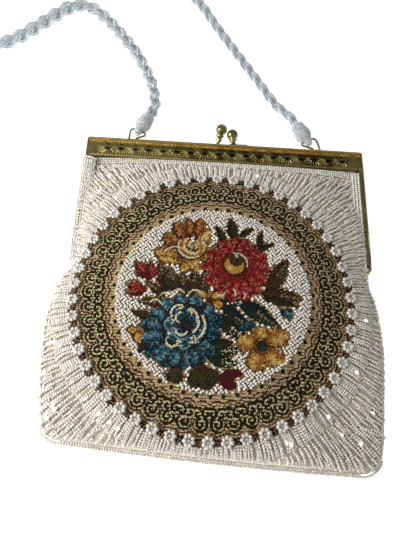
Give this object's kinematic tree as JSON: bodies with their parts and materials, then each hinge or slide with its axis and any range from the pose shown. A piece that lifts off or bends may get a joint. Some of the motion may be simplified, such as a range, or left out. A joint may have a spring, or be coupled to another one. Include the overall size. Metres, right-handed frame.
{
  "type": "beaded evening bag",
  "caption": "Hollow beaded evening bag lying on its back, with a round tapestry medallion, a brass kiss-lock frame and a plaited bead strap.",
  "frame": {"origin": "middle of the flat back of the pouch, on the surface that the bag lies on", "axes": "+Z out of the bag's front, +Y from the pouch towards the frame's top and the strap, +X to the right of the bag seen from its front"},
  "size_m": [0.332, 0.4289, 0.0319],
  "materials": {
    "beaded_cloth": "tan cloth sewn all over with raised strings of pearl-white glass seed beads",
    "pearl_beads": "strings of glossy pearl-white glass seed beads",
    "tapestry": "woven floral tapestry with a scroll ring, white beads filling the ground of the bouquet",
    "strap_beads": "plaited cords of glossy white glass seed beads",
    "frame_brass": "aged yellow brass, polished on the mouldings and dull in the engraving"
  },
  "bodies": {
    "root": {"pouch": "beaded_cloth", "bottom_piping": "pearl_beads", "medallion": "tapestry", "rosette_ring": "pearl_beads", "frame_front": "frame_brass", "frame_back": "frame_brass", "hinge_rivet_left": "frame_brass", "hinge_rivet_right": "frame_brass", "clasp_knob_left": "frame_brass", "clasp_knob_right": "frame_brass", "strap_ring_left": "frame_brass", "strap_ring_right": "frame_brass", "strap_end_left": "strap_beads", "strap_end_right": "strap_beads", "strap_cord_1": "strap_beads", "strap_cord_2": "strap_beads", "strap_cord_3": "strap_beads"}
  },
  "joints": []
}
